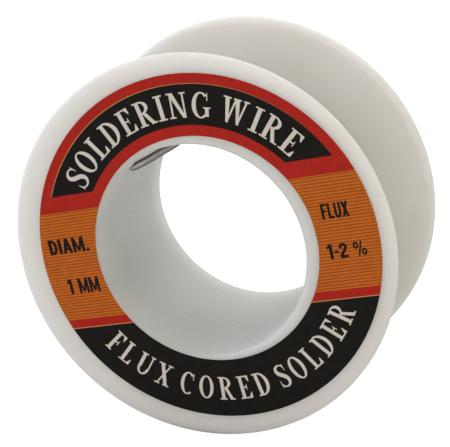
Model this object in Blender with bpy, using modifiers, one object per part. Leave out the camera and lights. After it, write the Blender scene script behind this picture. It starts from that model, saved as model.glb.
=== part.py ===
"""Small spool of flux-cored solder wire.

The bobbin is one white moulding: a hub tube between two flanges. A printed ring label covers the
front flange, and a single layer of 1 mm wire is wound on the hub. The wire starts inside the bore,
passes out through a threading hole in the hub, and ends as a short free end near the rear flange.

The spool stands on its two rims on the plane Z = 0. Its axis is parallel to Y, and the labelled
front flange faces -Y. Depth is measured from the front face towards the rear. Units are metres.
"""

import math

import bmesh
import bpy
from mathutils import Matrix, Vector

MM = 0.001

# Moulded body
FLANGE_RADIUS = 25.0 * MM
SPOOL_WIDTH = 24.2 * MM
FLANGE_THICKNESS = 1.6 * MM
RIM_ROUNDING = 0.75 * MM
FACE_RIM_REACH = 2.5 * MM
INNER_RIM_REACH = 1.05 * MM
HUB_RADIUS = 15.4 * MM
HUB_FILLET = 0.4 * MM
BORE_RADIUS_FRONT = 13.75 * MM
BORE_RADIUS_REAR = 14.3 * MM
FRONT_LIP_ROUNDING = 0.55 * MM
FRONT_LIP_REACH = 0.85 * MM
REAR_LIP_ROUNDING = 0.4 * MM
TURN_STEPS = 64
ARC_STEPS = 3

# Ring label, stuck on slightly off the spool's axis
LABEL_OUTER_RADIUS = 22.35 * MM
LABEL_INNER_RADIUS = 14.6 * MM
LABEL_THICKNESS = 0.15 * MM
LABEL_GAP = 0.1 * MM
LABEL_OFFSET_X = 0.93 * MM
LABEL_OFFSET_Z = 0.45 * MM

# Solder wire and its flux core
WIRE_DIAMETER = 1.0 * MM
WIRE_CLEARANCE = 0.3 * MM
STEPS_PER_TURN = 24
WINDING_START_ANGLE = 80.0
WINDING_SWEEP = 18 * 360.0 + 200.0
SAMPLES_PER_SPAN = 3
CORE_HOLE_INSET = 0.25 * MM
CORE_HOLE_DEPTH = 1.5 * MM
CORE_RADIUS = 0.17 * MM
CORE_LENGTH = 1.3 * MM
CORE_BOTTOM_GAP = 0.1 * MM

# Threading hole in the hub, longer round the hub than along it
HOLE_ANGLE = 100.5
HOLE_DEPTH = 3.05 * MM
HOLE_HALF_LENGTH = 2.4 * MM
HOLE_HALF_WIDTH = 1.2 * MM

# Derived places
AXIS_HEIGHT = FLANGE_RADIUS * math.cos(math.pi / TURN_STEPS)
OVERALL_DEPTH = SPOOL_WIDTH + LABEL_GAP + LABEL_THICKNESS
FRONT_Y = LABEL_GAP + LABEL_THICKNESS - OVERALL_DEPTH / 2
WIRE_RADIUS = WIRE_DIAMETER / 2
WINDING_RADIUS = HUB_RADIUS + WIRE_CLEARANCE + WIRE_RADIUS
FIRST_TURN_DEPTH = FLANGE_THICKNESS + WIRE_CLEARANCE + WIRE_RADIUS
LAST_TURN_DEPTH = SPOOL_WIDTH - FIRST_TURN_DEPTH

# Wire route inside the bore and out through the hub: angle in degrees, radius and depth in mm.
# It joins the winding at WINDING_START_ANGLE.
INNER_END_ROUTE = [
    (134.5, 13.23, 2.64),
    (127.0, 12.88, 3.10),
    (119.0, 12.90, 3.34),
    (112.0, 13.11, 3.36),
    (107.5, 13.40, 3.26),
    (104.0, 13.82, 3.12),
    (100.5, 14.42, 2.95),
    (96.5, 15.20, 2.75),
    (91.0, 16.02, 2.52),
    (85.0, 16.20, 2.42),
]

# Free outer end: degrees past the end of the winding, radius and depth in mm. It lifts off along
# the tangent.
OUTER_END_ROUTE = [
    (7.0, 16.32, 21.82),
    (14.0, 16.70, 21.78),
    (21.0, 17.35, 21.70),
    (28.0, 18.35, 21.58),
]


def remove_all_objects():
    for thing in list(bpy.data.objects):
        bpy.data.objects.remove(thing, do_unlink=True)


def new_collection(name):
    collection = bpy.data.collections.new(name)
    bpy.context.scene.collection.children.link(collection)
    return collection


def new_material(name, color, roughness, metallic=0.0):
    material = bpy.data.materials.new(name)
    material.use_nodes = True
    shader = material.node_tree.nodes["Principled BSDF"]
    shader.inputs["Base Color"].default_value = (*color, 1.0)
    shader.inputs["Roughness"].default_value = roughness
    shader.inputs["Metallic"].default_value = metallic
    return material


def add_object(name, mesh, collection, material=None):
    thing = bpy.data.objects.new(name, mesh)
    collection.objects.link(thing)
    if material:
        mesh.materials.append(material)
    return thing


def spool_point(angle, radius, depth):
    """World position of a point given round the spool's axis, with the angle from +X to +Z."""
    turn = math.radians(angle)
    return Vector((
        radius * math.cos(turn),
        FRONT_Y + depth,
        AXIS_HEIGHT + radius * math.sin(turn),
    ))


def arc(centre_r, centre_h, radius, start, end, reach=None):
    """Points on an arc of the turned profile, angles in degrees from the outward direction.

    A reach makes it part of an ellipse, with that half-width along the spool's radius.
    """
    points = []
    for step in range(ARC_STEPS + 1):
        turn = math.radians(start + (end - start) * step / ARC_STEPS)
        outward = (reach or radius) * math.cos(turn)
        points.append((centre_r + outward, centre_h + radius * math.sin(turn)))
    return points


def turned_object(name, profile, collection, material, centre):
    """Closed profile of (radius, height) points turned about the spool's axis.

    Local +Z points out of the front face. The turn starts half a step round, so that a flat
    facet and not a corner faces the floor.
    """
    mesh = bpy.data.meshes.new(name)
    count = len(profile)
    half_step = math.pi / TURN_STEPS
    vertices = [(r * math.cos(half_step), r * math.sin(half_step), h) for r, h in profile]
    edges = [(index, (index + 1) % count) for index in range(count)]
    mesh.from_pydata(vertices, edges, [])
    thing = add_object(name, mesh, collection, material)
    screw = thing.modifiers.new("Turn", "SCREW")
    screw.axis = "Z"
    screw.angle = math.tau
    screw.steps = TURN_STEPS
    screw.render_steps = TURN_STEPS
    screw.use_merge_vertices = True
    screw.merge_threshold = 0.000001
    screw.use_smooth_shade = True
    thing.location = centre
    thing.rotation_euler = (math.pi / 2, 0.0, 0.0)
    return thing


def spool_profile():
    """Section of the moulding: front flange, hub, rear flange, then the tapered bore."""
    front = SPOOL_WIDTH / 2
    rear = -front
    front_inner = front - FLANGE_THICKNESS
    rear_inner = rear + FLANGE_THICKNESS
    face_rim = FLANGE_RADIUS - FACE_RIM_REACH
    inner_rim = FLANGE_RADIUS - INNER_RIM_REACH
    fillet = HUB_RADIUS + HUB_FILLET
    profile = []
    profile += arc(face_rim, front - RIM_ROUNDING, RIM_ROUNDING, 90, 0, FACE_RIM_REACH)
    profile += arc(inner_rim, front_inner + RIM_ROUNDING, RIM_ROUNDING, 0, -90, INNER_RIM_REACH)
    profile += arc(fillet, front_inner - HUB_FILLET, HUB_FILLET, 90, 180)
    profile += arc(fillet, rear_inner + HUB_FILLET, HUB_FILLET, 180, 270)
    profile += arc(inner_rim, rear_inner - RIM_ROUNDING, RIM_ROUNDING, 90, 0, INNER_RIM_REACH)
    profile += arc(face_rim, rear + RIM_ROUNDING, RIM_ROUNDING, 0, -90, FACE_RIM_REACH)
    profile += arc(
        BORE_RADIUS_REAR + REAR_LIP_ROUNDING, rear + REAR_LIP_ROUNDING, REAR_LIP_ROUNDING, 270, 180
    )
    profile += arc(
        BORE_RADIUS_FRONT + FRONT_LIP_REACH, front - FRONT_LIP_ROUNDING, FRONT_LIP_ROUNDING,
        180, 90, FRONT_LIP_REACH,
    )
    return profile


def cut_threading_hole(spool, cutters):
    """Elliptical hole through the hub wall, close to the front flange."""
    mesh = bpy.data.meshes.new("threading_hole_cutter")
    shape = bmesh.new()
    bmesh.ops.create_cone(
        shape, cap_ends=True, segments=32, radius1=1.0, radius2=1.0, depth=1.0,
    )
    length = 3 * (HUB_RADIUS - BORE_RADIUS_FRONT)
    bmesh.ops.scale(shape, vec=(HOLE_HALF_LENGTH, HOLE_HALF_WIDTH, length), verts=shape.verts)
    shape.to_mesh(mesh)
    shape.free()
    cutter = add_object("threading_hole_cutter", mesh, cutters)
    radial = math.radians(HOLE_ANGLE)
    outward = Vector((math.cos(radial), 0.0, math.sin(radial)))
    around = Vector((-math.sin(radial), 0.0, math.cos(radial)))
    along = outward.cross(around)
    turn = Matrix((around, along, outward)).transposed().to_4x4()
    place = spool_point(HOLE_ANGLE, (HUB_RADIUS + BORE_RADIUS_FRONT) / 2, HOLE_DEPTH)
    cutter.matrix_world = Matrix.Translation(place) @ turn
    cutter.hide_render = True
    cutter.display_type = "WIRE"
    cut = spool.modifiers.new("Threading hole", "BOOLEAN")
    cut.operation = "DIFFERENCE"
    cut.solver = "EXACT"
    cut.object = cutter


def make_spool(parts, cutters):
    plastic = new_material("white_plastic", (0.82, 0.81, 0.78), 0.35)
    centre = (0.0, FRONT_Y + SPOOL_WIDTH / 2, AXIS_HEIGHT)
    spool = turned_object("spool_body", spool_profile(), parts, plastic, centre)
    cut_threading_hole(spool, cutters)


def make_label(parts):
    paper = new_material("printed_label", (0.34, 0.06, 0.02), 0.4)
    half = LABEL_THICKNESS / 2
    profile = [
        (LABEL_INNER_RADIUS, half),
        (LABEL_OUTER_RADIUS, half),
        (LABEL_OUTER_RADIUS, -half),
        (LABEL_INNER_RADIUS, -half),
    ]
    centre = (LABEL_OFFSET_X, FRONT_Y - LABEL_GAP - half, AXIS_HEIGHT + LABEL_OFFSET_Z)
    turned_object("front_label", profile, parts, paper, centre)


def smooth_span(before, start, end, after):
    """Points from start up to, but not including, end on a Catmull-Rom curve."""
    points = []
    for step in range(SAMPLES_PER_SPAN):
        t = step / SAMPLES_PER_SPAN
        points.append(0.5 * (
            2 * start
            + (end - before) * t
            + (2 * before - 5 * start + 4 * end - after) * t ** 2
            + (3 * start - before - 3 * end + after) * t ** 3
        ))
    return points


def winding_point(angle_done):
    depth = FIRST_TURN_DEPTH + (LAST_TURN_DEPTH - FIRST_TURN_DEPTH) * angle_done / WINDING_SWEEP
    return spool_point(WINDING_START_ANGLE - angle_done, WINDING_RADIUS, depth)


def wire_route():
    """Centreline of the whole wire, from its end in the bore to its free end."""
    step = 360.0 / STEPS_PER_TURN
    steps = round(WINDING_SWEEP / step)
    winding = [winding_point(WINDING_SWEEP * index / steps) for index in range(steps + 1)]
    inner = [spool_point(angle, r * MM, depth * MM) for angle, r, depth in INNER_END_ROUTE]
    last_angle = WINDING_START_ANGLE - WINDING_SWEEP
    outer = [
        spool_point(last_angle - past, r * MM, depth * MM) for past, r, depth in OUTER_END_ROUTE
    ]
    knots = [2 * inner[0] - inner[1], *inner, winding[0], winding[1]]
    route = []
    for index in range(1, len(knots) - 2):
        route += smooth_span(*knots[index - 1:index + 3])
    route += winding[:-1]
    knots = [winding[-2], winding[-1], *outer, 2 * outer[-1] - outer[-2]]
    for index in range(1, len(knots) - 2):
        route += smooth_span(*knots[index - 1:index + 3])
    route.append(outer[-1])
    return route


def tube_mesh(name, route, radius):
    """Closed tube along a route: a bevelled curve turned into a welded mesh."""
    curve = bpy.data.curves.new(name, "CURVE")
    curve.dimensions = "3D"
    curve.bevel_depth = radius
    curve.bevel_resolution = 2
    curve.use_fill_caps = True
    spline = curve.splines.new("POLY")
    spline.points.add(len(route) - 1)
    for point, place in zip(spline.points, route):
        point.co = (*place, 1.0)
    guide = bpy.data.objects.new(name + "_curve", curve)
    bpy.context.scene.collection.objects.link(guide)
    evaluated = guide.evaluated_get(bpy.context.evaluated_depsgraph_get())
    mesh = bpy.data.meshes.new_from_object(evaluated)
    bpy.data.objects.remove(guide, do_unlink=True)
    shape = bmesh.new()
    shape.from_mesh(mesh)
    bmesh.ops.remove_doubles(shape, verts=shape.verts, dist=0.000001)
    shape.to_mesh(mesh)
    shape.free()
    return mesh


def sink_core_hole(mesh, end, inward):
    """Sinks a blind hole for the flux core into the flat wire end at the given place."""
    shape = bmesh.new()
    shape.from_mesh(mesh)
    cap_faces = [
        face for face in shape.faces
        if abs(face.normal.dot(inward)) > 0.99
        and (face.calc_center_median() - end).length < WIRE_RADIUS
    ]
    cap = bmesh.ops.dissolve_faces(shape, faces=cap_faces)["region"][0]
    bmesh.ops.inset_region(shape, faces=[cap], thickness=CORE_HOLE_INSET, use_even_offset=True)
    sunk = bmesh.ops.extrude_discrete_faces(shape, faces=[cap])["faces"][0]
    bmesh.ops.translate(shape, verts=list(sunk.verts), vec=inward * CORE_HOLE_DEPTH)
    bmesh.ops.recalc_face_normals(shape, faces=shape.faces)
    shape.to_mesh(mesh)
    shape.free()


def make_core_end(name, end, inward, parts, material):
    """Plug of flux that shows in the wire's cut end."""
    mesh = bpy.data.meshes.new(name)
    shape = bmesh.new()
    bmesh.ops.create_cone(
        shape, cap_ends=True, segments=12, radius1=CORE_RADIUS, radius2=CORE_RADIUS,
        depth=CORE_LENGTH,
    )
    shape.to_mesh(mesh)
    shape.free()
    mesh.shade_smooth()
    mesh.set_sharp_from_angle(angle=math.radians(40))
    plug = add_object(name, mesh, parts, material)
    plug.rotation_mode = "QUATERNION"
    plug.rotation_quaternion = inward.to_track_quat("Z", "Y")
    plug.location = end + inward * (CORE_HOLE_DEPTH - CORE_BOTTOM_GAP - CORE_LENGTH / 2)


def make_wire(parts):
    solder = new_material("solder_alloy", (0.50, 0.50, 0.49), 0.35, metallic=1.0)
    flux = new_material("rosin_flux", (0.45, 0.20, 0.04), 0.3)
    route = wire_route()
    mesh = tube_mesh("solder_wire", route, WIRE_RADIUS)
    ends = {
        "flux_core_inner_end": (route[0], (route[1] - route[0]).normalized()),
        "flux_core_outer_end": (route[-1], (route[-2] - route[-1]).normalized()),
    }
    for name, (end, inward) in ends.items():
        sink_core_hole(mesh, end, inward)
        make_core_end(name, end, inward, parts, flux)
    mesh.shade_smooth()
    mesh.set_sharp_from_angle(angle=math.radians(50))
    add_object("solder_wire", mesh, parts, solder)


def main():
    remove_all_objects()
    parts = new_collection("solder_wire_spool")
    cutters = new_collection("cutters")
    make_spool(parts, cutters)
    make_label(parts)
    make_wire(parts)


main()
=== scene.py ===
"""Looks of the solder wire spool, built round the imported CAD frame.

The spool's axis is parallel to Y, its labelled face looks along -Y, and it stands on Z = 0.
Depth is measured from the front face towards the rear, and an angle round the axis from +X to +Z.
Lengths are metres, except where a comment says millimetres, and angles are degrees.

The frame gives the overall sizes and places. The sizes within them are the design's own.
"""

import math

import bmesh
import bpy
from mathutils import Matrix, Vector
from mathutils.geometry import delaunay_2d_cdt


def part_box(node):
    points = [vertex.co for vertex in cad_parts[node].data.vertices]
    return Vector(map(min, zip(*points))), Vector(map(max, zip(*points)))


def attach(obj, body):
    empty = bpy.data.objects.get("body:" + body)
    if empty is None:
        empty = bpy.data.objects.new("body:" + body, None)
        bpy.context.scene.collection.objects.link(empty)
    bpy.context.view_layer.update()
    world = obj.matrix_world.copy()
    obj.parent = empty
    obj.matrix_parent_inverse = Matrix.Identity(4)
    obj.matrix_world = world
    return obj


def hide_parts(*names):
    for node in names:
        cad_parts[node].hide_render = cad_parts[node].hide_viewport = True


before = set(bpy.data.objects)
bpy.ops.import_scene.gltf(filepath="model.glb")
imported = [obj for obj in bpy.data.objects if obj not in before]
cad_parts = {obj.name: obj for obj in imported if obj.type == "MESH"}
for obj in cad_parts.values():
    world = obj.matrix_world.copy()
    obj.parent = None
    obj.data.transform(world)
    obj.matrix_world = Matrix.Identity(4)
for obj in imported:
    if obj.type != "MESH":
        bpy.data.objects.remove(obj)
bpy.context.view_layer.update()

MM = 0.001
BODY = "root"
WHITE = (1.0, 1.0, 1.0, 1.0)
MERGE_DISTANCE = 0.001 * MM

# Places taken from the frame
spool_low, spool_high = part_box("spool_body")
label_low, label_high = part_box("front_label")
FRONT_Y = spool_low[1]
SPOOL_WIDTH = spool_high[1] - spool_low[1]
FLANGE_RADIUS = (spool_high[0] - spool_low[0]) / 2
AXIS_HEIGHT = (spool_low[2] + spool_high[2]) / 2
LABEL_X = (label_low[0] + label_high[0]) / 2
LABEL_Z = (label_low[2] + label_high[2]) / 2
LABEL_RADIUS = (label_high[0] - label_low[0]) / 2

# Moulding
FLANGE_THICKNESS = 1.6 * MM
RIM_ROUNDING = 0.75 * MM
FACE_RIM_REACH = 2.5 * MM
INNER_RIM_REACH = 1.05 * MM
HUB_RADIUS = 15.4 * MM
HUB_FILLET = 0.4 * MM
BORE_RADIUS_FRONT = 13.75 * MM
BORE_RADIUS_REAR = 14.3 * MM
FRONT_LIP_ROUNDING = 0.55 * MM
FRONT_LIP_REACH = 0.85 * MM
REAR_LIP_ROUNDING = 0.4 * MM
TURN_STEPS = 240
ARC_STEPS = 12

# Threading hole in the hub, longer round the hub than along it
HOLE_ANGLE = 100.5
HOLE_DEPTH = 3.05 * MM
HOLE_HALF_LENGTH = 2.4 * MM
HOLE_HALF_WIDTH = 1.2 * MM
HOLE_SIDES = 64

# Traces of the mould: ridges where its side cores met, pin marks and a gate on the rear face
PARTING_ANGLES = (10.3, 190.3)
RIDGE_HALF_WIDTH = 0.2 * MM
RIDGE_HEIGHT = 0.06 * MM
REAR_MARKS_ORBIT = 19.6 * MM
PIN_MARK_ANGLES = (55.0, 145.0, 235.0, 325.0)
PIN_MARK_RADIUS = 1.6 * MM
PIN_MARK_DEPTH = 0.14 * MM
GATE_ANGLE = PARTING_ANGLES[0]
GATE_RADIUS = 1.2 * MM
GATE_DEPTH = 0.25 * MM
GATE_TAPER = 0.8
GATE_STUB_RADIUS = 0.45 * MM
GATE_STUB_HEIGHT = 0.17 * MM
GATE_STUB_ROOT = 0.05 * MM
DISC_SIDES = 48
CUTTER_OVERSHOOT = 1.0 * MM

# Wire
WIRE_RADIUS = 0.5 * MM
WIRE_CLEARANCE = 0.3 * MM
WINDING_START_ANGLE = 80.0
WINDING_SWEEP = 18 * 360.0 + 200.0
STEPS_PER_TURN = 72
WIRE_SIDES = 18
SAMPLES_PER_SPAN = 8
WINDING_RADIUS = HUB_RADIUS + WIRE_CLEARANCE + WIRE_RADIUS
FIRST_TURN_DEPTH = FLANGE_THICKNESS + WIRE_CLEARANCE + WIRE_RADIUS
LAST_TURN_DEPTH = SPOOL_WIDTH - FIRST_TURN_DEPTH

# Route inside the bore and out through the hub: angle in degrees, radius and depth in mm
INNER_END_ROUTE = [
    (134.5, 13.23, 2.64),
    (127.0, 12.88, 3.10),
    (119.0, 12.90, 3.34),
    (112.0, 13.11, 3.36),
    (107.5, 13.40, 3.26),
    (104.0, 13.82, 3.12),
    (100.5, 14.42, 2.95),
    (96.5, 15.20, 2.75),
    (91.0, 16.02, 2.52),
    (85.0, 16.20, 2.42),
]
# Wedge that the cutters left beyond the start of that route: its point, the lengths over which its
# outer side, its inner side and its width grow to the full wire, and the shares of the wire that
# its thickness and its width start from
TIP_POINT = (137.0, 13.50, 2.47)
TIP_BEVEL = 0.95 * MM
TIP_NOSE = 0.9 * MM
TIP_EDGE = 0.3 * MM
TIP_THINNEST = 0.08
TIP_NARROWEST = 0.55
# Free outer end: degrees past the end of the winding, radius and depth in mm
OUTER_END_ROUTE = [
    (7.0, 16.32, 21.82),
    (14.0, 16.70, 21.78),
    (21.0, 17.35, 21.70),
    (28.0, 18.35, 21.58),
]

# Steps from the rim of a square-cut end to its core hole: how far in, and how far into the wire
CUT_END_STEPS = [
    (0.04 * MM, -0.02 * MM),
    (0.05 * MM, -0.01 * MM),
    (0.16 * MM, 0.0),
]
CORE_HOLE_DEPTH = 1.5 * MM
# Side of the wire left lit, free of the painted shade: its middle, half its width and its soft
# edge, as shares of the way round
LIT_SIDE = 0.39
LIT_SIDE_HALF_WIDTH = 0.075
LIT_SIDE_EDGE = 0.04
# Start of the wire, lying in the bore, that carries the full painted shade, in mm, and the share of
# it the rest carries
SHADED_END_LENGTH = 9.0
SHADED_END_FADE = 4.5
WOUND_SHADE_SHARE = 0.2

# Label: how far it is turned on the flange, its thickness, and the gap behind it
LABEL_TURN = 14.1
LABEL_THICKNESS = 0.1 * MM
LABEL_GAP = 0.01 * MM

# Label artwork, in mm from the label's centre, before the label is turned
LABEL_HOLE_RADIUS = 14.6
ARC_BAND_INNER = 15.95
ARC_BAND_OUTER = 21.0
ARC_BAND_FLOOR = 9.5
PANEL_TOP = 7.4
PANEL_BOTTOM = -7.05
STRIPE_PITCH = 0.4
STRIPE_HEIGHT = 0.15
LOWER_BAND_TOP = -8.3
HAIRLINE = 0.12
# Shift of the gold outline behind the upper black band, and how far bands run past the label's edge
PRINT_SHIFT = (0.06, 0.08)
BLEED = 1.0
LABEL_STEPS = 288
LABEL_HOLE_STEPS = 240

# Camera: where it stands from the middle of the front face
CAMERA_AZIMUTH = 18.82
CAMERA_ELEVATION = 19.53
CAMERA_DISTANCE = 180.69 * MM
CAMERA_ASIDE = 3.35 * MM
CAMERA_ABOVE = 3.62 * MM
LENS_MM = 117.17
SENSOR_MM = 36.0

# Studio: azimuth and elevation of each soft light, in degrees, and its colour
SOFT_LIGHT_SHARPNESS = 8.0
SOFT_LIGHTS = [
    (0.0, 12.0, (1.99, 1.63, 1.54)),
    (45.0, 12.0, (0.66, 0.71, 0.40)),
    (90.0, 12.0, (0.30, 0.30, 0.34)),
    (225.0, 12.0, (0.66, 0.65, 0.61)),
    (270.0, 12.0, (1.88, 2.29, 2.42)),
    (135.0, 52.0, (1.97, 2.18, 2.12)),
    (225.0, 52.0, (0.85, 0.79, 0.80)),
    (315.0, 52.0, (0.40, 0.55, 0.71)),
    (0.0, 90.0, (1.27, 0.92, 0.71)),
]
FLOOR_TONE = (0.6, 0.6, 0.6, 1.0)
FLOOR_GLOW = 0.8
FLOOR_SIZE = 8.0


# ---------------------------------------------------------------- geometry helpers

def spool_point(angle, radius, depth):
    """World position round the spool's axis, with the angle from +X to +Z."""
    turn = math.radians(angle)
    return Vector((
        radius * math.cos(turn), FRONT_Y + depth, AXIS_HEIGHT + radius * math.sin(turn),
    ))


def add_object(name, data, materials=()):
    thing = bpy.data.objects.new(name, data)
    bpy.context.scene.collection.objects.link(thing)
    for material in materials:
        data.materials.append(material)
    return thing


def apply_modifiers(thing):
    """Bakes the object's modifiers into its mesh."""
    evaluated = thing.evaluated_get(bpy.context.evaluated_depsgraph_get())
    mesh = bpy.data.meshes.new_from_object(evaluated)
    thing.modifiers.clear()
    thing.data = mesh


def arc(centre_r, centre_h, radius, start, end, reach=None):
    """Points on an arc of a turned profile, angles in degrees from the outward direction.

    A reach makes it part of an ellipse, with that half-width along the radius.
    """
    points = []
    for step in range(ARC_STEPS + 1):
        turn = math.radians(start + (end - start) * step / ARC_STEPS)
        outward = (reach or radius) * math.cos(turn)
        points.append((centre_r + outward, centre_h + radius * math.sin(turn)))
    return points


def shade(thing, sharp_above):
    """Smooth shading that leaves edges crisp where faces meet at more than the given angle."""
    thing.data.shade_smooth()
    thing.data.set_sharp_from_angle(angle=math.radians(sharp_above))


# ---------------------------------------------------------------- materials

class Nodes:
    """Small builder for a node tree. Its values are numbers, colours or other nodes' outputs."""

    def __init__(self, tree):
        self.tree = tree

    def add(self, kind, **settings):
        node = self.tree.nodes.new(kind)
        for key, value in settings.items():
            if key in node.inputs:
                node.inputs[key].default_value = value
            else:
                setattr(node, key, value)
        return node

    def link(self, source, target):
        self.tree.links.new(source, target)

    def feed(self, socket, value):
        if isinstance(value, bpy.types.NodeSocket):
            self.link(value, socket)
        else:
            socket.default_value = value

    def math(self, operation, *values):
        node = self.add("ShaderNodeMath", operation=operation)
        for socket, value in zip(node.inputs, values):
            self.feed(socket, value)
        return node.outputs["Value"]

    def vector_math(self, operation, first, second, result="Vector"):
        node = self.add("ShaderNodeVectorMath", operation=operation)
        self.feed(node.inputs[0], first)
        self.feed(node.inputs[1], second)
        return node.outputs[result]


class MaterialNodes(Nodes):
    """Node tree of a new material, with its shader."""

    def __init__(self, name):
        self.material = bpy.data.materials.new(name)
        self.material.use_nodes = True
        super().__init__(self.material.node_tree)
        self.shader = self.tree.nodes["Principled BSDF"]

    def set(self, **values):
        for key, value in values.items():
            self.shader.inputs[key.replace("_", " ")].default_value = value

    def place(self, stretch=(1.0, 1.0, 1.0)):
        """Object coordinates in millimetres, stretched along each axis."""
        coordinates = self.add("ShaderNodeTexCoord")
        mapping = self.add("ShaderNodeMapping")
        mapping.inputs["Scale"].default_value = [value / MM for value in stretch]
        self.link(coordinates.outputs["Object"], mapping.inputs["Vector"])
        return mapping.outputs["Vector"]

    def noise(self, vector, scale, detail=3.0, roughness=0.5):
        node = self.add("ShaderNodeTexNoise", Scale=scale, Detail=detail, Roughness=roughness)
        self.link(vector, node.inputs["Vector"])
        return node.outputs["Fac"]

    def ramp(self, value, low, high, start, end):
        """Maps value from low..high to start..end."""
        node = self.add("ShaderNodeMapRange")
        node.inputs["From Min"].default_value = low
        node.inputs["From Max"].default_value = high
        node.inputs["To Min"].default_value = start
        node.inputs["To Max"].default_value = end
        self.link(value, node.inputs["Value"])
        return node.outputs["Result"]

    def mix(self, factor, first, second):
        """Colour between the first, at factor 0, and the second, at factor 1."""
        node = self.add("ShaderNodeMix", data_type="RGBA")
        self.link(factor, node.inputs["Factor"])
        # A Mix node has sockets for every kind of value. These are the ones for colours.
        for socket, value in ((node.inputs[6], first), (node.inputs[7], second)):
            self.feed(socket, (*value, 1.0) if isinstance(value, tuple) else value)
        return node.outputs[2]

    def bump(self, height, strength, distance, below=None):
        node = self.add("ShaderNodeBump", Strength=strength, Distance=distance)
        self.link(height, node.inputs["Height"])
        if below is not None:
            self.link(below, node.inputs["Normal"])
        return node.outputs["Normal"]


def white_plastic():
    """Semi-gloss, slightly translucent moulded plastic with faint clouding and handling marks."""
    nodes = MaterialNodes("white_plastic")
    nodes.set(IOR=1.49, Subsurface_Weight=0.9, Subsurface_Scale=4.5 * MM)
    nodes.set(Subsurface_Radius=(1.0, 0.95, 0.85))
    dull, bright, grimy = (0.76, 0.755, 0.74), (0.795, 0.79, 0.775), (0.70, 0.685, 0.65)
    place = nodes.place()
    clouds = nodes.noise(place, 0.09, detail=2.0)
    grime = nodes.noise(place, 0.3, detail=3.0, roughness=0.55)
    color = nodes.mix(nodes.ramp(clouds, 0.35, 0.65, 0.0, 1.0), dull, bright)
    color = nodes.mix(nodes.ramp(grime, 0.55, 0.85, 0.0, 0.4), color, grimy)
    nodes.link(color, nodes.shader.inputs["Base Color"])
    handling = nodes.ramp(nodes.noise(place, 1.4, detail=4.0), 0.3, 0.7, 0.27, 0.40)
    long_marks = nodes.noise(nodes.place((1.0, 0.08, 6.0)), 2.0, detail=2.0)
    scratches = nodes.ramp(long_marks, 0.58, 0.68, 0.0, 0.12)
    nodes.link(nodes.math("ADD", handling, scratches), nodes.shader.inputs["Roughness"])
    ripple = nodes.bump(nodes.noise(place, 0.25, detail=1.0), 0.25, 0.12 * MM)
    grain = nodes.bump(nodes.noise(place, 9.0, detail=2.0), 0.08, 0.02 * MM, ripple)
    nodes.link(grain, nodes.shader.inputs["Normal"])
    return nodes.material


def ink(name, color, worn):
    """Printed paper: an even ink with slight mottling, fine paper tooth and a satin finish."""
    nodes = MaterialNodes(name)
    nodes.set(IOR=1.45, Specular_IOR_Level=0.12)
    place = nodes.place()
    mottle = nodes.noise(place, 1.2, detail=4.0, roughness=0.6)
    tooth = nodes.noise(place, 14.0, detail=2.0)
    tone = nodes.mix(nodes.ramp(mottle, 0.35, 0.7, 0.0, 1.0), color, worn)
    nodes.link(tone, nodes.shader.inputs["Base Color"])
    nodes.link(nodes.ramp(mottle, 0.3, 0.7, 0.42, 0.55), nodes.shader.inputs["Roughness"])
    nodes.link(nodes.bump(tooth, 0.12, 0.02 * MM), nodes.shader.inputs["Normal"])
    return nodes.material


def solder_metal():
    """Dull silver alloy with drawing marks along the wire and patches of oxide.

    Painted shade darkens the end left bare in the bore, and faintly the winding, except along one
    lit side.
    """
    nodes = MaterialNodes("solder_alloy")
    nodes.set(Metallic=1.0)
    dull, bright = (0.33, 0.325, 0.32), (0.46, 0.455, 0.445)
    # The second colour here is painted shade for the wire's sides; the first is oxide
    oxide, painted_shade = (0.27, 0.265, 0.26), (0.175, 0.168, 0.165)
    on_wire = nodes.add("ShaderNodeUVMap", uv_map="along").outputs["UV"]
    stretched = nodes.add("ShaderNodeMapping", Scale=(9.0, 0.35, 1.0))
    nodes.link(on_wire, stretched.inputs["Vector"])
    streaks = nodes.noise(stretched.outputs["Vector"], 3.0, detail=4.0, roughness=0.6)
    place = nodes.place()
    patches = nodes.noise(place, 0.8, detail=4.0, roughness=0.6)
    color = nodes.mix(nodes.ramp(streaks, 0.35, 0.65, 0.0, 1.0), dull, bright)
    color = nodes.mix(nodes.ramp(patches, 0.52, 0.72, 0.0, 0.5), color, oxide)
    # Painted shade over the bare end and, faintly, the winding, leaving one lit side along the wire
    color = nodes.mix(painted_shade_share(nodes, on_wire), color, painted_shade)
    nodes.link(color, nodes.shader.inputs["Base Color"])
    nodes.link(nodes.ramp(patches, 0.3, 0.7, 0.3, 0.44), nodes.shader.inputs["Roughness"])
    lines = nodes.bump(streaks, 0.25, 0.03 * MM)
    dents = nodes.bump(nodes.noise(place, 5.0), 0.15, 0.04 * MM, lines)
    nodes.link(dents, nodes.shader.inputs["Normal"])
    return nodes.material


def painted_shade_share(nodes, on_wire):
    """Share of painted shade at a place given round and along the wire."""
    split = nodes.add("ShaderNodeSeparateXYZ")
    nodes.link(on_wire, split.inputs["Vector"])
    off_side = nodes.math("ABSOLUTE", nodes.math("SUBTRACT", split.outputs["X"], LIT_SIDE))
    around = nodes.ramp(off_side, LIT_SIDE_HALF_WIDTH, LIT_SIDE_HALF_WIDTH + LIT_SIDE_EDGE, 0.0, 1.0)
    fade_end = SHADED_END_LENGTH + SHADED_END_FADE
    along = nodes.ramp(split.outputs["Y"], SHADED_END_LENGTH, fade_end, 1.0, WOUND_SHADE_SHARE)
    return nodes.math("MULTIPLY", around, along)


def rosin():
    """Brittle amber flux resin."""
    nodes = MaterialNodes("rosin_flux")
    nodes.set(IOR=1.54, Roughness=0.25)
    flecks = nodes.noise(nodes.place(), 6.0, detail=4.0)
    color = nodes.mix(flecks, (0.40, 0.16, 0.03), (0.62, 0.33, 0.09))
    nodes.link(color, nodes.shader.inputs["Base Color"])
    nodes.link(nodes.bump(flecks, 0.3, 0.03 * MM), nodes.shader.inputs["Normal"])
    return nodes.material


# ---------------------------------------------------------------- moulded spool

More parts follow.
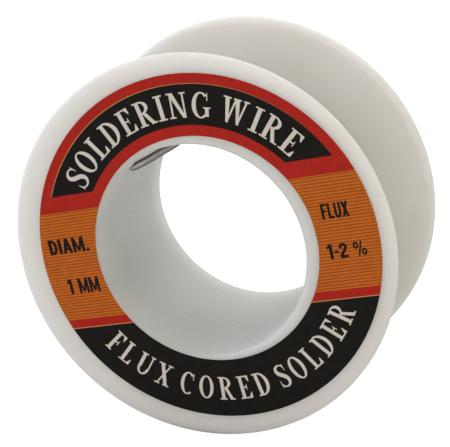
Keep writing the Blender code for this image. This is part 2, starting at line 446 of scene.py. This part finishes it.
def turned_object(name, profile, centre):
    """Closed profile of (radius, height) points turned about Y. Local +Z is out of the front."""
    mesh = bpy.data.meshes.new(name)
    count = len(profile)
    vertices = [(r, 0.0, h) for r, h in profile]
    mesh.from_pydata(vertices, [(index, (index + 1) % count) for index in range(count)], [])
    thing = add_object(name, mesh)
    screw = thing.modifiers.new("Turn", "SCREW")
    screw.axis = "Z"
    screw.angle = math.tau
    screw.steps = TURN_STEPS
    screw.render_steps = TURN_STEPS
    screw.use_merge_vertices = True
    screw.merge_threshold = MERGE_DISTANCE
    thing.location = centre
    thing.rotation_euler = (math.pi / 2, 0.0, 0.0)
    bpy.context.view_layer.update()
    return thing


def spool_profile():
    """Section of the moulding: front flange, hub, rear flange, then the tapered bore."""
    front = SPOOL_WIDTH / 2
    rear = -front
    front_inner = front - FLANGE_THICKNESS
    rear_inner = rear + FLANGE_THICKNESS
    face_rim = FLANGE_RADIUS - FACE_RIM_REACH
    inner_rim = FLANGE_RADIUS - INNER_RIM_REACH
    fillet = HUB_RADIUS + HUB_FILLET
    profile = []
    profile += arc(face_rim, front - RIM_ROUNDING, RIM_ROUNDING, 90, 0, FACE_RIM_REACH)
    profile += arc(inner_rim, front_inner + RIM_ROUNDING, RIM_ROUNDING, 0, -90, INNER_RIM_REACH)
    profile += arc(fillet, front_inner - HUB_FILLET, HUB_FILLET, 90, 180)
    profile += arc(fillet, rear_inner + HUB_FILLET, HUB_FILLET, 180, 270)
    profile += arc(inner_rim, rear_inner - RIM_ROUNDING, RIM_ROUNDING, 90, 0, INNER_RIM_REACH)
    profile += arc(face_rim, rear + RIM_ROUNDING, RIM_ROUNDING, 0, -90, FACE_RIM_REACH)
    profile += arc(BORE_RADIUS_REAR + REAR_LIP_ROUNDING, rear + REAR_LIP_ROUNDING,
                   REAR_LIP_ROUNDING, 270, 180)
    profile += arc(BORE_RADIUS_FRONT + FRONT_LIP_REACH, front - FRONT_LIP_ROUNDING,
                   FRONT_LIP_ROUNDING, 180, 90, FRONT_LIP_REACH)
    return profile


def combine(spool, tool, operation):
    """Takes the tool's shape out of the spool, or adds it to the spool."""
    change = spool.modifiers.new("Combine", "BOOLEAN")
    change.operation = operation
    change.solver = "EXACT"
    change.object = tool
    apply_modifiers(spool)
    bpy.data.objects.remove(tool, do_unlink=True)


def cut_threading_hole(spool):
    mesh = bpy.data.meshes.new("threading_hole_cutter")
    shape = bmesh.new()
    bmesh.ops.create_cone(shape, cap_ends=True, segments=HOLE_SIDES, radius1=1.0, radius2=1.0,
                          depth=1.0)
    length = 3 * (HUB_RADIUS - BORE_RADIUS_FRONT)
    bmesh.ops.scale(shape, vec=(HOLE_HALF_LENGTH, HOLE_HALF_WIDTH, length), verts=shape.verts)
    shape.to_mesh(mesh)
    shape.free()
    cutter = add_object("threading_hole_cutter", mesh)
    radial = math.radians(HOLE_ANGLE)
    outward = Vector((math.cos(radial), 0.0, math.sin(radial)))
    around = Vector((-math.sin(radial), 0.0, math.cos(radial)))
    turn = Matrix((around, outward.cross(around), outward)).transposed().to_4x4()
    middle = (HUB_RADIUS + BORE_RADIUS_FRONT) / 2
    cutter.matrix_world = Matrix.Translation(spool_point(HOLE_ANGLE, middle, HOLE_DEPTH)) @ turn
    bpy.context.view_layer.update()
    combine(spool, cutter, "DIFFERENCE")


def rear_disc(shape, angle, base_radius, top_radius, low, high):
    """Round disc on the rear face, from low to high measured out of that face."""
    place = spool_point(angle, REAR_MARKS_ORBIT, SPOOL_WIDTH + (low + high) / 2)
    facing_rear = Matrix.Rotation(-math.pi / 2, 4, "X")
    bmesh.ops.create_cone(
        shape, cap_ends=True, segments=DISC_SIDES, radius1=base_radius, radius2=top_radius,
        depth=high - low, matrix=Matrix.Translation(place) @ facing_rear,
    )


def cut_rear_marks(spool):
    """Shallow marks left by the mould's ejector pins, and the dimple round its gate."""
    mesh = bpy.data.meshes.new("rear_marks_cutter")
    shape = bmesh.new()
    for angle in PIN_MARK_ANGLES:
        rear_disc(
            shape, angle, PIN_MARK_RADIUS, PIN_MARK_RADIUS, -PIN_MARK_DEPTH, CUTTER_OVERSHOOT,
        )
    rear_disc(shape, GATE_ANGLE, GATE_TAPER * GATE_RADIUS, GATE_RADIUS, -GATE_DEPTH, 0.0)
    rear_disc(shape, GATE_ANGLE, GATE_RADIUS, GATE_RADIUS, 0.0, CUTTER_OVERSHOOT)
    bmesh.ops.remove_doubles(shape, verts=shape.verts, dist=MERGE_DISTANCE)
    shape.to_mesh(mesh)
    shape.free()
    combine(spool, add_object("rear_marks_cutter", mesh), "DIFFERENCE")


def parting_ridge(shape, profile, angle):
    """Low ridge of triangular section that follows the turned profile at one angle.

    Its foot lies as far under the surface as its crest stands out of it, so the foot is twice as
    wide as the part that shows.
    """
    turn = math.radians(angle)
    outward = Vector((math.cos(turn), 0.0, math.sin(turn)))
    around = Vector((-math.sin(turn), 0.0, math.cos(turn)))
    centre = Vector((0.0, FRONT_Y + SPOOL_WIDTH / 2, AXIS_HEIGHT))
    foot_half = around * RIDGE_HALF_WIDTH * 2
    rows = []
    for index, (r, h) in enumerate(profile):
        before, after = profile[max(index - 1, 0)], profile[min(index + 1, len(profile) - 1)]
        ahead = Vector((after[0] - before[0], after[1] - before[1])).normalized()
        normal = outward * -ahead.y + Vector((0.0, -ahead.x, 0.0))
        crest = centre + outward * r + Vector((0.0, -h, 0.0)) + normal * RIDGE_HEIGHT
        foot = crest - normal * 2 * RIDGE_HEIGHT
        corners = (foot - foot_half, crest, foot + foot_half)
        rows.append([shape.verts.new(corner) for corner in corners])
    for here, there in zip(rows, rows[1:]):
        for side in range(3):
            after = (side + 1) % 3
            shape.faces.new((here[side], here[after], there[after], there[side]))
    shape.faces.new(rows[0])
    shape.faces.new(rows[-1])


def add_mould_traces(spool, profile):
    """Parting ridges between the flanges and the broken-off stub in the gate's dimple."""
    # The profile's second to fifth arcs run from one rim down to the hub and up to the other rim
    arc_points = ARC_STEPS + 1
    between_flanges = profile[arc_points:5 * arc_points]
    mesh = bpy.data.meshes.new("mould_traces")
    shape = bmesh.new()
    for angle in PARTING_ANGLES:
        parting_ridge(shape, between_flanges, angle)
    rear_disc(
        shape, GATE_ANGLE, GATE_STUB_RADIUS, GATE_TAPER * GATE_STUB_RADIUS,
        -GATE_DEPTH - GATE_STUB_ROOT, GATE_STUB_HEIGHT - GATE_DEPTH,
    )
    bmesh.ops.recalc_face_normals(shape, faces=shape.faces)
    shape.to_mesh(mesh)
    shape.free()
    combine(spool, add_object("mould_traces", mesh), "UNION")


def make_spool(plastic):
    centre = (0.0, FRONT_Y + SPOOL_WIDTH / 2, AXIS_HEIGHT)
    profile = spool_profile()
    spool = turned_object("moulded_spool", profile, centre)
    cut_threading_hole(spool)
    cut_rear_marks(spool)
    add_mould_traces(spool, profile)
    spool.data.materials.clear()
    spool.data.materials.append(plastic)
    shade(spool, sharp_above=35)
    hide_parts("spool_body")
    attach(spool, BODY)


# ---------------------------------------------------------------- label artwork
# A glyph is (width, polygons) with a cap height of 1. Polygons may overlap.

# Widths of thick and thin strokes, the height of a serif, and the arms of E, F and L: where they
# start, and the height, tip and foot of the wedge at their end
THICK = 0.17
THIN = 0.075
FOOT = 0.06
ARM_START = 0.15
WEDGE_HEIGHT = 0.27
WEDGE_TIP = 0.035
WEDGE_FOOT = 0.15


def bar(x0, y0, x1, y1):
    return [(x0, y0), (x1, y0), (x1, y1), (x0, y1)]


def slant(foot0, foot1, top0, top1, y0=0.0, y1=1.0):
    return [(foot0, y0), (foot1, y0), (top1, y1), (top0, y1)]


def bow(cx, cy, rx, ry, side, end_thickness, start, end, steps=16):
    """Part of an elliptical ring, thicker at its sides than at its top and bottom."""
    turns = [math.radians(start + (end - start) * step / steps) for step in range(steps + 1)]
    outer = [(cx + rx * math.cos(t), cy + ry * math.sin(t)) for t in turns]
    inner = [
        (cx + (rx - side) * math.cos(t), cy + (ry - end_thickness) * math.sin(t)) for t in turns
    ]
    return outer + inner[::-1]


def brush(points, steps=6):
    """Stroke of changing width along (x, y, width) points, smoothed by a Catmull-Rom curve."""
    knots = [points[0], *points, points[-1]]
    line = []
    for index in range(1, len(knots) - 2):
        before, start, end, after = (Vector(knot) for knot in knots[index - 1:index + 3])
        line += [catmull_rom(before, start, end, after, step / steps) for step in range(steps)]
    line.append(Vector(points[-1]))
    left, right = [], []
    for index, here in enumerate(line):
        ahead = line[min(index + 1, len(line) - 1)] - line[max(index - 1, 0)]
        side = Vector((-ahead.y, ahead.x)).normalized() * here.z / 2
        left.append((here.x + side.x, here.y + side.y))
        right.append((here.x - side.x, here.y - side.y))
    return left + right[::-1]


def catmull_rom(before, start, end, after, t):
    return 0.5 * (
        2 * start
        + (end - before) * t
        + (2 * before - 5 * start + 4 * end - after) * t ** 2
        + (3 * start - before - 3 * end + after) * t ** 3
    )


def pillar(x, reach):
    """Thick upright stroke with serifs that reach out on both sides of its foot and its head."""
    half = THICK / 2
    return [
        bar(x - half, 0, x + half, 1),
        bar(x - half - reach, 0, x + half + reach, FOOT),
        bar(x - half - reach, 1 - FOOT, x + half + reach, 1),
    ]


def arm(right, y, towards):
    """Thin arm of an E, F or L with a wedge at its end. towards is +1 for a wedge going up."""
    base = y if towards > 0 else y - FOOT
    lip = y + FOOT if towards > 0 else y - FOOT
    peak = y + towards * WEDGE_HEIGHT
    return [
        bar(ARM_START, base, right, base + FOOT),
        [(right, y), (right, peak), (right - WEDGE_TIP, peak), (right - WEDGE_FOOT, lip),
         (right - WEDGE_FOOT, y)],
    ]


def oval(cx, cy, rx, ry, thickness):
    """Whole elliptical ring of even thickness, in two halves."""
    ring = (cx, cy, rx, ry, thickness, thickness)
    return [bow(*ring, 0, 180), bow(*ring, 180, 360)]


# What several letters share: the round of C, G and O, the stem of D, E, F, L and R, and the middle
# arm of E and F
ROUND = (0.37, 0.5, 0.36, 0.515, 0.165, 0.06)
LETTER_C = [bow(*ROUND, 46, 180), bow(*ROUND, 180, 308), bar(0.60, 0.68, 0.64, 0.98)]
STEM = pillar(0.19, reach=0.09)
MIDDLE_ARM = [bar(0.2, 0.47, 0.42, 0.53), bar(0.41, 0.38, 0.445, 0.62)]
SERIF = {
    "C": (0.70, LETTER_C),
    "D": (0.74, STEM + [
        bow(0.26, 0.5, 0.46, 0.5, THICK, FOOT, -90, 90),
        bar(0.2, 0, 0.27, FOOT),
        bar(0.2, 1 - FOOT, 0.27, 1),
    ]),
    "E": (0.64, STEM + arm(0.60, 1, -1) + arm(0.62, 0, 1) + MIDDLE_ARM),
    "F": (0.60, STEM + arm(0.58, 1, -1) + MIDDLE_ARM),
    "G": (0.76, LETTER_C + [bar(0.54, 0.06, 0.69, 0.42), bar(0.46, 0.38, 0.76, 0.43)]),
    "I": (0.38, pillar(0.19, reach=0.1)),
    "L": (0.62, STEM + arm(0.60, 0, 1)),
    "N": (0.80, [
        bar(0.11, 0, 0.11 + THIN, 1),
        bar(0.62, 0, 0.62 + THIN, 1),
        slant(0.56, 0.695, 0.07, 0.26),
        bar(0.02, 0, 0.28, FOOT),
        bar(0.0, 1 - FOOT, 0.2, 1),
        bar(0.53, 1 - FOOT, 0.79, 1),
    ]),
    "O": (0.74, [bow(*ROUND, 0, 180), bow(*ROUND, 180, 360)]),
    "R": (0.76, STEM + [
        bow(0.28, 0.745, 0.34, 0.255, 0.15, FOOT, -90, 90),
        bar(0.2, 1 - FOOT, 0.29, 1),
        bar(0.2, 0.49, 0.29, 0.49 + FOOT),
        slant(0.54, 0.71, 0.28, 0.44, 0, 0.52),
        bar(0.52, 0, 0.78, FOOT),
    ]),
    "S": (0.60, [
        brush([(0.545, 0.80, 0.05), (0.48, 0.92, 0.06), (0.33, 0.97, 0.07), (0.17, 0.90, 0.12),
               (0.12, 0.76, 0.16), (0.20, 0.62, 0.18), (0.34, 0.51, 0.18), (0.46, 0.39, 0.18),
               (0.51, 0.24, 0.16), (0.44, 0.09, 0.11), (0.29, 0.03, 0.07), (0.13, 0.08, 0.06),
               (0.06, 0.21, 0.05)]),
        bar(0.525, 0.68, 0.56, 0.97),
        bar(0.045, 0.03, 0.08, 0.33),
    ]),
    "U": (0.80, [
        bar(0.11, 0.32, 0.11 + THICK, 1),
        bar(0.62, 0.32, 0.62 + THIN, 1),
        bow(0.4025, 0.33, 0.2925, 0.345, 0.125, 0.075, 180, 360),
        bar(0.02, 1 - FOOT, 0.37, 1),
        bar(0.54, 1 - FOOT, 0.78, 1),
    ]),
    "W": (1.08, [
        slant(0.27, 0.37, 0.07, 0.25),
        slant(0.27, 0.345, 0.485, 0.56),
        slant(0.69, 0.79, 0.48, 0.66),
        slant(0.69, 0.765, 0.905, 0.98),
        bar(0.0, 1 - FOOT, 0.32, 1),
        bar(0.42, 1 - FOOT, 0.73, 1),
        bar(0.83, 1 - FOOT, 1.06, 1),
    ]),
    "X": (0.78, [
        slant(0.52, 0.71, 0.07, 0.26),
        slant(0.11, 0.19, 0.57, 0.65),
        bar(0.02, 0, 0.29, FOOT),
        bar(0.45, 0, 0.77, FOOT),
        bar(0.0, 1 - FOOT, 0.33, 1),
        bar(0.48, 1 - FOOT, 0.74, 1),
    ]),
    " ": (0.18, []),
}

SANS = {
    "1": (0.42, [bar(0.16, 0, 0.37, 1), [(0.16, 1.0), (0.02, 0.82), (0.02, 0.66), (0.16, 0.76)]]),
    "2": (0.56, [
        brush([(0.10, 0.66, 0.19), (0.14, 0.84, 0.19), (0.28, 0.91, 0.18), (0.42, 0.82, 0.19),
               (0.42, 0.66, 0.19), (0.31, 0.46, 0.19), (0.17, 0.28, 0.19), (0.11, 0.12, 0.19)]),
        bar(0.02, 0, 0.53, 0.17),
    ]),
    "%": (0.84, [
        slant(0.22, 0.34, 0.48, 0.60),
        *oval(0.17, 0.74, 0.17, 0.25, 0.12),
        *oval(0.65, 0.26, 0.17, 0.25, 0.12),
    ]),
    "-": (0.36, [bar(0.03, 0.36, 0.33, 0.52)]),
    ".": (0.28, [bar(0.04, 0, 0.24, 0.19)]),
    "A": (0.62, [
        slant(0, 0.2, 0.2, 0.41),
        slant(0.41, 0.61, 0.2, 0.41),
        bar(0.12, 0.2, 0.49, 0.36),
    ]),
    "D": (0.60, [
        bar(0.03, 0, 0.24, 1),
        bar(0.2, 0, 0.26, 0.17),
        bar(0.2, 0.83, 0.26, 1),
        bow(0.25, 0.5, 0.32, 0.5, 0.2, 0.17, -90, 90),
    ]),
    "F": (0.54, [bar(0.03, 0, 0.24, 1), bar(0.1, 0.83, 0.52, 1), bar(0.1, 0.43, 0.47, 0.59)]),
    "I": (0.28, [bar(0.03, 0, 0.24, 1)]),
    "L": (0.54, [bar(0.03, 0, 0.24, 1), bar(0.1, 0, 0.52, 0.17)]),
    "M": (0.80, [
        bar(0.03, 0, 0.22, 1),
        bar(0.58, 0, 0.77, 1),
        slant(0.33, 0.47, 0.03, 0.22, 0.08, 1),
        slant(0.33, 0.47, 0.58, 0.77, 0.08, 1),
    ]),
    "U": (0.62, [
        bar(0.03, 0.28, 0.23, 1),
        bar(0.38, 0.28, 0.58, 1),
        bow(0.305, 0.29, 0.275, 0.30, 0.2, 0.18, 180, 360),
    ]),
    "X": (0.62, [slant(0, 0.22, 0.38, 0.6), slant(0.38, 0.6, 0, 0.22)]),
    " ": (0.35, []),
}


def set_line(text, font, left, right, base, height):
    """Text on a straight line, squeezed or spread to run from left to right."""
    total = sum(font[letter][0] for letter in text)
    stretch = (right - left) / total
    polygons = []
    pen = left
    for letter in text:
        width, shapes = font[letter]
        for shape in shapes:
            polygons.append([(pen + x * stretch, base + y * height) for x, y in shape])
        pen += width * stretch
    return polygons


def set_arc(text, font, middle_radius, height, squeeze, first, last, outward):
    """Upright letters round an arc, the first and last centred on the given angles.

    outward is +1 where the letters' heads point away from the centre and -1 where they point in.
    """
    widths = [font[letter][0] for letter in text]
    starts = [sum(widths[:index]) + widths[index] / 2 for index in range(len(text))]
    polygons = []
    for letter, place in zip(text, starts):
        share = (place - starts[0]) / (starts[-1] - starts[0])
        turn = math.radians(first + (last - first) * share)
        up = Vector((math.cos(turn), math.sin(turn))) * outward
        right = Vector((up.y, -up.x))
        centre = Vector((math.cos(turn), math.sin(turn))) * middle_radius
        width, shapes = font[letter]
        for shape in shapes:
            polygons.append([
                centre + right * ((x - width / 2) * height * squeeze) + up * ((y - 0.5) * height)
                for x, y in shape
            ])
    return polygons


def circle(radius, steps):
    return [
        (radius * math.cos(math.tau * step / steps), radius * math.sin(math.tau * step / steps))
        for step in range(steps)
    ]


def arc_band(inner, outer, floor, steps=120):
    """The part of a ring that lies above a straight floor line."""
    rim = []
    for radius, order in ((outer, 1), (inner, -1)):
        start = math.asin(floor / radius)
        turns = [start + (math.pi - 2 * start) * step / steps for step in range(steps + 1)]
        rim += [(radius * math.cos(t), radius * math.sin(t)) for t in turns[::order]]
    return rim


def label_artwork():
    """(ink, polygon) pairs, each printed over the ones before it."""
    radius = LABEL_RADIUS / MM
    wide = radius + BLEED
    art = [("red", circle(radius, LABEL_STEPS))]
    art.append(("orange", bar(-wide, PANEL_BOTTOM, wide, PANEL_TOP)))
    stripes = int((PANEL_TOP - PANEL_BOTTOM) / STRIPE_PITCH)
    for index in range(stripes):
        low = PANEL_BOTTOM + (index + 0.5) * STRIPE_PITCH
        art.append(("brown", bar(-wide, low, wide, low + STRIPE_HEIGHT)))
    art.append(("gold", bar(-wide, LOWER_BAND_TOP, wide, LOWER_BAND_TOP + HAIRLINE)))
    art.append(("black", bar(-wide, -wide, wide, LOWER_BAND_TOP)))
    outline = arc_band(ARC_BAND_INNER, ARC_BAND_OUTER, ARC_BAND_FLOOR)
    art.append(("gold", [(x - PRINT_SHIFT[0], y + PRINT_SHIFT[1]) for x, y in outline]))
    art.append(("black", arc_band(ARC_BAND_INNER, ARC_BAND_OUTER, ARC_BAND_FLOOR)))
    cream = set_arc("SOLDERING WIRE", SERIF, middle_radius=18.42, height=3.15, squeeze=1.0,
                    first=141.6, last=39.8, outward=1)
    cream += set_arc("FLUX CORED SOLDER", SERIF, middle_radius=18.5, height=3.1, squeeze=0.86,
                     first=215.0, last=327.1, outward=-1)
    small = set_line("FLUX", SANS, left=15.8, right=19.3, base=1.9, height=1.95)
    small += set_line("1-2 %", SANS, left=15.45, right=20.45, base=-3.1, height=1.85)
    small += set_line("DIAM.", SANS, left=-21.1, right=-15.3, base=1.95, height=2.0)
    small += set_line("1 MM", SANS, left=-19.9, right=-15.3, base=-3.55, height=2.05)
    art += [("cream", polygon) for polygon in cream]
    art += [("black", polygon) for polygon in small]
    return art


def counter_clockwise(polygon):
    area = sum(
        x0 * y1 - x1 * y0 for (x0, y0), (x1, y1) in zip(polygon, polygon[1:] + polygon[:1])
    )
    return polygon if area > 0 else polygon[::-1]


def flat_label(art, inks):
    """Triangles of the printed face: points in mm, and (corners, ink index) for each triangle.

    The outlines are cut where they cross. A triangle takes the ink of the last outline round it.
    """
    keep_inside, tolerance = 1, 0.000001
    points, outlines = [], []
    hole = len(art)
    hole_outline = circle(LABEL_HOLE_RADIUS, LABEL_HOLE_STEPS)
    for polygon in [polygon for _, polygon in art] + [hole_outline]:
        polygon = counter_clockwise([tuple(point) for point in polygon])
        outlines.append(range(len(points), len(points) + len(polygon)))
        points += [Vector(point) for point in polygon]
    cut = delaunay_2d_cdt(points, [], outlines, keep_inside, tolerance)
    placed, _, faces, _, _, owners = cut
    triangles = []
    for corners, owner in zip(faces, owners):
        if 0 in owner and hole not in owner:
            triangles.append((corners, inks.index(art[max(owner)][0])))
    return placed, triangles


def label_inks():
    return {
        "red": ink("ink_red", (0.41, 0.018, 0.011), (0.47, 0.022, 0.014)),
        "orange": ink("ink_orange", (0.56, 0.135, 0.014), (0.62, 0.165, 0.02)),
        "brown": ink("ink_brown", (0.31, 0.066, 0.008), (0.35, 0.082, 0.012)),
        "gold": ink("ink_gold", (0.50, 0.26, 0.09), (0.56, 0.31, 0.12)),
        "black": ink("ink_black", (0.0085, 0.0072, 0.0065), (0.012, 0.0105, 0.0095)),
        "cream": ink("ink_cream", (0.66, 0.635, 0.58), (0.72, 0.695, 0.64)),
        "paper": ink("label_paper", (0.76, 0.75, 0.72), (0.80, 0.79, 0.76)),
    }


def label_mesh(points, triangles, paper):
    """The flat label turned into place, given its thickness, and with bare paper at the back."""
    shape = bmesh.new()
    turn = Matrix.Rotation(math.radians(LABEL_TURN), 2)
    placed = [turn @ point * MM for point in points]
    layers = []
    for y in (FRONT_Y - LABEL_GAP - LABEL_THICKNESS, FRONT_Y - LABEL_GAP):
        layers.append([shape.verts.new((LABEL_X + p.x, y, LABEL_Z + p.y)) for p in placed])
    printed, back = layers
    for corners, index in triangles:
        shape.faces.new([printed[corner] for corner in corners]).material_index = index
    edges = [
        (loop.link_loop_next.vert, loop.vert)
        for edge in shape.edges if edge.is_boundary
        for loop in edge.link_loops
    ]
    behind = dict(zip(printed, back))
    for first, second in edges:
        wall = shape.faces.new([first, second, behind[second], behind[first]])
        wall.material_index = paper
    for corners, _ in triangles:
        shape.faces.new([back[corner] for corner in reversed(corners)]).material_index = paper
    unused = [vertex for vertex in shape.verts if not vertex.link_faces]
    bmesh.ops.delete(shape, geom=unused, context="VERTS")
    mesh = bpy.data.meshes.new("ring_label")
    shape.to_mesh(mesh)
    shape.free()
    return mesh


def make_label():
    inks = label_inks()
    names = list(inks)
    points, triangles = flat_label(label_artwork(), names)
    mesh = label_mesh(points, triangles, names.index("paper"))
    label = add_object("ring_label", mesh, inks.values())
    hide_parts("front_label")
    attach(label, BODY)


# ---------------------------------------------------------------- wire

def smooth_route(knots):
    """Points on a smooth curve through the knots, between the second and the last but one."""
    route = []
    for index in range(1, len(knots) - 2):
        for step in range(SAMPLES_PER_SPAN):
            route.append(catmull_rom(*knots[index - 1:index + 3], step / SAMPLES_PER_SPAN))
    return route


def winding_point(angle_done):
    depth = FIRST_TURN_DEPTH + (LAST_TURN_DEPTH - FIRST_TURN_DEPTH) * angle_done / WINDING_SWEEP
    return spool_point(WINDING_START_ANGLE - angle_done, WINDING_RADIUS, depth)


def wire_route():
    """Centreline of the whole wire, from its end in the bore to its free end."""
    steps = round(WINDING_SWEEP * STEPS_PER_TURN / 360.0)
    winding = [winding_point(WINDING_SWEEP * index / steps) for index in range(steps + 1)]
    inner = [spool_point(angle, r * MM, depth * MM) for angle, r, depth in INNER_END_ROUTE]
    last_angle = WINDING_START_ANGLE - WINDING_SWEEP
    outer = [
        spool_point(last_angle - past, r * MM, depth * MM) for past, r, depth in OUTER_END_ROUTE
    ]
    angle, r, depth = TIP_POINT
    tip = spool_point(angle, r * MM, depth * MM)
    route = smooth_route([2 * tip - inner[0], tip, *inner, winding[0], winding[1]])
    route += winding[:-1]
    route += smooth_route([winding[-2], winding[-1], *outer, 2 * outer[-1] - outer[-2]])
    route.append(outer[-1])
    return route


def lengths_along(route):
    lengths = [0.0]
    for before, after in zip(route, route[1:]):
        lengths.append(lengths[-1] + (after - before).length)
    return lengths


def wire_rings(shape, route):
    """A ring of vertices round each point of the route, with no twist from one to the next."""
    turns = [math.tau * step / WIRE_SIDES for step in range(WIRE_SIDES)]
    rings = []
    side = None
    for index, place in enumerate(route):
        ahead = route[min(index + 1, len(route) - 1)] - route[max(index - 1, 0)]
        ahead.normalize()
        if side is None:
            side = ahead.orthogonal().normalized()
        side = (side - ahead * side.dot(ahead)).normalized()
        across = ahead.cross(side)
        rings.append([
            shape.verts.new(place + (side * math.cos(turn) + across * math.sin(turn)) * WIRE_RADIUS)
            for turn in turns
        ])
    return rings


def wire_mesh(route, lengths):
    """Tube along the route, with a UV map: share of the way round, and millimetres along."""
    shape = bmesh.new()
    layer = shape.loops.layers.uv.new("along")
    rings = wire_rings(shape, route)
    pinch_start(rings, route, lengths)
    for index in range(len(rings) - 1):
        for step in range(WIRE_SIDES):
            after = (step + 1) % WIRE_SIDES
            corners = [
                (rings[index][step], step, index), (rings[index][after], step + 1, index),
                (rings[index + 1][after], step + 1, index + 1),
                (rings[index + 1][step], step, index + 1),
            ]
            face = shape.faces.new([vertex for vertex, _, _ in corners])
            for loop, (_, around, along) in zip(face.loops, corners):
                loop[layer].uv = (around / WIRE_SIDES, lengths[along] / MM)
    shape.faces.new(rings[0][::-1])
    finish_cut_end(shape, shape.faces.new(rings[-1]), (route[-2] - route[-1]).normalized())
    bmesh.ops.recalc_face_normals(shape, faces=shape.faces)
    mesh = bpy.data.meshes.new("wound_wire")
    shape.to_mesh(mesh)
    shape.free()
    return mesh


def pinch_start(rings, route, lengths):
    """Narrows the wire's first stretch to the wedge that side cutters leave."""
    outward = Vector((route[0].x, 0.0, route[0].z - AXIS_HEIGHT)).normalized()
    for ring, centre, length in zip(rings, route, lengths):
        outer = max(TIP_THINNEST, min(1.0, length / TIP_BEVEL))
        inner = max(TIP_THINNEST, rounded(length / TIP_NOSE))
        across = max(TIP_NARROWEST, rounded(length / TIP_EDGE))
        for vertex in ring:
            offset = vertex.co - centre
            rise = outward * outward.dot(offset)
            share = outer if outward.dot(offset) > 0.0 else inner
            vertex.co = centre + rise * share + (offset - rise) * across


def rounded(share):
    """Half-width of a round nose at a share of its length, as a part of its full half-width."""
    return math.sqrt(1.0 - (1.0 - min(share, 1.0)) ** 2)


def finish_cut_end(shape, cap, inward):
    """Rounds the edge of a square-cut end and sinks the hole that holds the flux core."""
    for inset, depth in CUT_END_STEPS:
        bmesh.ops.inset_region(shape, faces=[cap], thickness=inset, use_even_offset=True)
        bmesh.ops.translate(shape, verts=list(cap.verts), vec=inward * depth)
    cap = bmesh.ops.extrude_discrete_faces(shape, faces=[cap])["faces"][0]
    bmesh.ops.translate(shape, verts=list(cap.verts), vec=inward * CORE_HOLE_DEPTH)


def make_wire():
    """The whole wire, with the CAD's two plugs of resin in its ends."""
    route = wire_route()
    lengths = lengths_along(route)
    wire = add_object("wound_wire", wire_mesh(route, lengths), [solder_metal()])
    shade(wire, sharp_above=50)
    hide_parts("solder_wire")
    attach(wire, BODY)
    flux = rosin()
    cores = [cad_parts[name] for name in ("flux_core_inner_end", "flux_core_outer_end")]
    for core in cores:
        for slot in core.material_slots:
            slot.material = flux


# ---------------------------------------------------------------- stage

def direction(azimuth, elevation):
    """Unit vector from the object. Azimuth 0 is the labelled side and 90 is +X."""
    turn, rise = math.radians(azimuth), math.radians(elevation)
    return Vector((
        math.sin(turn) * math.cos(rise), -math.cos(turn) * math.cos(rise), math.sin(rise),
    ))


def make_camera():
    back = direction(CAMERA_AZIMUTH, CAMERA_ELEVATION)
    right = direction(CAMERA_AZIMUTH + 90.0, 0.0)
    up = back.cross(right)
    front = Vector((0.0, FRONT_Y, AXIS_HEIGHT))
    place = front + right * CAMERA_ASIDE + up * CAMERA_ABOVE + back * CAMERA_DISTANCE
    data = bpy.data.cameras.new("camera")
    data.lens = LENS_MM
    data.sensor_width = SENSOR_MM
    data.sensor_fit = "HORIZONTAL"
    data.clip_start = 0.01
    data.clip_end = 20.0
    camera = add_object("camera", data)
    turn = Matrix((right, up, back)).transposed().to_4x4()
    camera.matrix_world = Matrix.Translation(place) @ turn
    bpy.context.scene.camera = camera


def make_floor():
    """Pale floor. A glow that only the camera sees makes it as white as the backdrop."""
    nodes = MaterialNodes("floor_white")
    nodes.set(Roughness=1.0, Specular_IOR_Level=0.0, Base_Color=FLOOR_TONE, Emission_Color=WHITE)
    camera_ray = nodes.add("ShaderNodeLightPath").outputs["Is Camera Ray"]
    glow = nodes.math("MULTIPLY", camera_ray, FLOOR_GLOW)
    nodes.link(glow, nodes.shader.inputs["Emission Strength"])
    bpy.ops.mesh.primitive_plane_add(size=FLOOR_SIZE, location=(0.0, 0.0, 0.0))
    floor = bpy.context.object
    floor.name = "floor"
    floor.data.materials.append(nodes.material)


def soft_light(nodes, azimuth, elevation, color):
    """Broad patch of light in the surrounding dome, fading out from its middle."""
    place = nodes.add("ShaderNodeTexCoord").outputs["Generated"]
    facing = nodes.vector_math("DOT_PRODUCT", place, direction(azimuth, elevation), "Value")
    fade = nodes.math("POWER", nodes.math("MAXIMUM", facing, 0.0), SOFT_LIGHT_SHARPNESS)
    return nodes.vector_math("MULTIPLY", fade, color)


def make_studio():
    """Dome of soft lights. The camera itself sees plain white behind the floor."""
    world = bpy.data.worlds.new("studio")
    world.use_nodes = True
    nodes = Nodes(world.node_tree)
    total, *others = [soft_light(nodes, *light) for light in SOFT_LIGHTS]
    for light in others:
        total = nodes.vector_math("ADD", total, light)
    dome = nodes.tree.nodes["Background"]
    nodes.link(total, dome.inputs["Color"])
    backdrop = nodes.add("ShaderNodeBackground", Color=WHITE)
    camera_ray = nodes.add("ShaderNodeLightPath").outputs["Is Camera Ray"]
    seen = nodes.add("ShaderNodeMixShader")
    for source, socket in zip((camera_ray, dome.outputs[0], backdrop.outputs[0]), seen.inputs):
        nodes.link(source, socket)
    nodes.link(seen.outputs[0], nodes.tree.nodes["World Output"].inputs["Surface"])
    bpy.context.scene.world = world
    bpy.context.scene.view_settings.view_transform = "Standard"


make_camera()
make_wire()
make_spool(white_plastic())
make_label()
make_floor()
make_studio()
